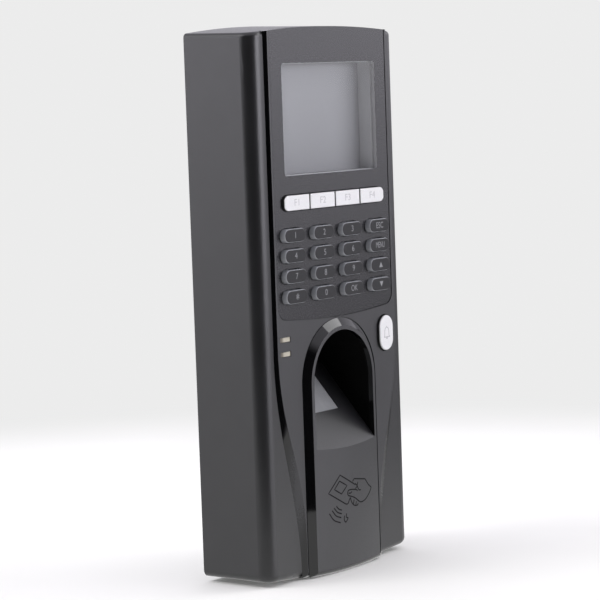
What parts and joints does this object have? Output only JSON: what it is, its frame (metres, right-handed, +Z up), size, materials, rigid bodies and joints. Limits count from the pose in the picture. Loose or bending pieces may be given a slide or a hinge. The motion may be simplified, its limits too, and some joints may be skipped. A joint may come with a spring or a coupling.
{
  "type": "fingerprint scanner terminal",
  "caption": "Wall-mounted fingerprint and card terminal with an arched finger well, colour display, number keys, function keys and a lift-off wall bracket.",
  "frame": {"origin": "middle of the wall face of the wall bracket, level with the middle of the terminal's height", "axes": "+Z up along the height, -Y out of the front towards the user, so +Y points into the wall, +X to the right as the user sees it"},
  "size_m": [0.0812, 0.032, 0.1846],
  "materials": {
    "housing_plastic": "satin black moulded plastic with a fine spark texture",
    "gloss_plastic": "black moulded plastic, satin on the flats and glossy on the bevels",
    "fascia_matte": "dark grey matte sheet",
    "display_lens": "clear lens, glossy",
    "grey_foam": "grey light-blocking frame",
    "lcd_glass": "unlit grey screen",
    "plated_steel": "bright plated",
    "cell_steel": "polished",
    "silver_plastic": "silver painted plastic",
    "light_pipe": "milky light guide",
    "well_plastic": "satin black",
    "prism_glass": "polished optical glass",
    "inner_plastic": "plain black moulding",
    "circuit_board": "green solder mask",
    "copper_trace": "copper",
    "silicone": "translucent grey silicone rubber",
    "key_plastic": "dark key caps with light grey walls",
    "terminal_green": "green moulding",
    "bracket_steel": "zinc-plated sheet"
  },
  "bodies": {
    "root": {"housing": "housing_plastic", "front_plate": "gloss_plastic", "fascia": "fascia_matte", "display_window": "display_lens", "lcd_gasket": "grey_foam", "lcd_panel": "lcd_glass", "lcd_frame": "plated_steel", "status_light_upper": "light_pipe", "status_light_lower": "light_pipe", "finger_surround": "gloss_plastic", "finger_well": "well_plastic", "sensor_prism": "prism_glass", "sensor_housing": "inner_plastic", "sensor_board": "circuit_board", "sensor_lens": "prism_glass", "card_antenna_board": "circuit_board", "card_antenna_coil": "copper_trace", "keypad_board": "circuit_board", "keypad_mat": "silicone", "bell_switch": "inner_plastic", "main_board": "circuit_board", "processor_shield": "plated_steel", "cell_holder": "inner_plastic", "coin_cell": "cell_steel", "relay": "inner_plastic", "interface_board": "circuit_board", "network_jack": "plated_steel", "terminal_block": "terminal_green", "speaker": "inner_plastic", "rear_cover": "inner_plastic", "wall_bracket": "bracket_steel", "tamper_switch": "inner_plastic", "lock_screw": "plated_steel", "case_screws": "plated_steel", "board_screws": "plated_steel"},
    "key_1_body": {"key_1": "key_plastic"},
    "key_2_body": {"key_2": "key_plastic"},
    "key_3_body": {"key_3": "key_plastic"},
    "key_esc_body": {"key_esc": "key_plastic"},
    "key_4_body": {"key_4": "key_plastic"},
    "key_5_body": {"key_5": "key_plastic"},
    "key_6_body": {"key_6": "key_plastic"},
    "key_menu_body": {"key_menu": "key_plastic"},
    "key_7_body": {"key_7": "key_plastic"},
    "key_8_body": {"key_8": "key_plastic"},
    "key_9_body": {"key_9": "key_plastic"},
    "key_up_body": {"key_up": "key_plastic"},
    "key_star_body": {"key_star": "key_plastic"},
    "key_0_body": {"key_0": "key_plastic"},
    "key_ok_body": {"key_ok": "key_plastic"},
    "key_down_body": {"key_down": "key_plastic"},
    "function_key_1_body": {"function_key_1": "silver_plastic"},
    "function_key_2_body": {"function_key_2": "silver_plastic"},
    "function_key_3_body": {"function_key_3": "silver_plastic"},
    "function_key_4_body": {"function_key_4": "silver_plastic"},
    "bell_key_body": {"bell_key": "silver_plastic"},
    "tamper_plunger_body": {"tamper_plunger": "inner_plastic"}
  },
  "joints": [
    {"name": "key_1_press", "type": "slide", "parent": "root", "child": "key_1_body", "axis": [0, 1, 0], "range_m": [0, 0.0008], "stiffness_N_per_m": 150, "springref_m": -0.002},
    {"name": "key_2_press", "type": "slide", "parent": "root", "child": "key_2_body", "axis": [0, 1, 0], "range_m": [0, 0.0008], "stiffness_N_per_m": 150, "springref_m": -0.002},
    {"name": "key_3_press", "type": "slide", "parent": "root", "child": "key_3_body", "axis": [0, 1, 0], "range_m": [0, 0.0008], "stiffness_N_per_m": 150, "springref_m": -0.002},
    {"name": "key_esc_press", "type": "slide", "parent": "root", "child": "key_esc_body", "axis": [0, 1, 0], "range_m": [0, 0.0008], "stiffness_N_per_m": 150, "springref_m": -0.002},
    {"name": "key_4_press", "type": "slide", "parent": "root", "child": "key_4_body", "axis": [0, 1, 0], "range_m": [0, 0.0008], "stiffness_N_per_m": 150, "springref_m": -0.002},
    {"name": "key_5_press", "type": "slide", "parent": "root", "child": "key_5_body", "axis": [0, 1, 0], "range_m": [0, 0.0008], "stiffness_N_per_m": 150, "springref_m": -0.002},
    {"name": "key_6_press", "type": "slide", "parent": "root", "child": "key_6_body", "axis": [0, 1, 0], "range_m": [0, 0.0008], "stiffness_N_per_m": 150, "springref_m": -0.002},
    {"name": "key_menu_press", "type": "slide", "parent": "root", "child": "key_menu_body", "axis": [0, 1, 0], "range_m": [0, 0.0008], "stiffness_N_per_m": 150, "springref_m": -0.002},
    {"name": "key_7_press", "type": "slide", "parent": "root", "child": "key_7_body", "axis": [0, 1, 0], "range_m": [0, 0.0008], "stiffness_N_per_m": 150, "springref_m": -0.002},
    {"name": "key_8_press", "type": "slide", "parent": "root", "child": "key_8_body", "axis": [0, 1, 0], "range_m": [0, 0.0008], "stiffness_N_per_m": 150, "springref_m": -0.002},
    {"name": "key_9_press", "type": "slide", "parent": "root", "child": "key_9_body", "axis": [0, 1, 0], "range_m": [0, 0.0008], "stiffness_N_per_m": 150, "springref_m": -0.002},
    {"name": "key_up_press", "type": "slide", "parent": "root", "child": "key_up_body", "axis": [0, 1, 0], "range_m": [0, 0.0008], "stiffness_N_per_m": 150, "springref_m": -0.002},
    {"name": "key_star_press", "type": "slide", "parent": "root", "child": "key_star_body", "axis": [0, 1, 0], "range_m": [0, 0.0008], "stiffness_N_per_m": 150, "springref_m": -0.002},
    {"name": "key_0_press", "type": "slide", "parent": "root", "child": "key_0_body", "axis": [0, 1, 0], "range_m": [0, 0.0008], "stiffness_N_per_m": 150, "springref_m": -0.002},
    {"name": "key_ok_press", "type": "slide", "parent": "root", "child": "key_ok_body", "axis": [0, 1, 0], "range_m": [0, 0.0008], "stiffness_N_per_m": 150, "springref_m": -0.002},
    {"name": "key_down_press", "type": "slide", "parent": "root", "child": "key_down_body", "axis": [0, 1, 0], "range_m": [0, 0.0008], "stiffness_N_per_m": 150, "springref_m": -0.002},
    {"name": "function_key_1_press", "type": "slide", "parent": "root", "child": "function_key_1_body", "axis": [0, 1, 0], "range_m": [0, 0.0008], "stiffness_N_per_m": 150, "springref_m": -0.002},
    {"name": "function_key_2_press", "type": "slide", "parent": "root", "child": "function_key_2_body", "axis": [0, 1, 0], "range_m": [0, 0.0008], "stiffness_N_per_m": 150, "springref_m": -0.002},
    {"name": "function_key_3_press", "type": "slide", "parent": "root", "child": "function_key_3_body", "axis": [0, 1, 0], "range_m": [0, 0.0008], "stiffness_N_per_m": 150, "springref_m": -0.002},
    {"name": "function_key_4_press", "type": "slide", "parent": "root", "child": "function_key_4_body", "axis": [0, 1, 0], "range_m": [0, 0.0008], "stiffness_N_per_m": 150, "springref_m": -0.002},
    {"name": "bell_key_press", "type": "slide", "parent": "root", "child": "bell_key_body", "axis": [0, 1, 0], "range_m": [0, 0.0008], "stiffness_N_per_m": 150, "springref_m": -0.002},
    {"name": "tamper_plunger_travel", "type": "slide", "parent": "root", "child": "tamper_plunger_body", "axis": [0, -1, 0], "range_m": [0, 0.0008], "stiffness_N_per_m": 60, "springref_m": -0.002}
  ]
}
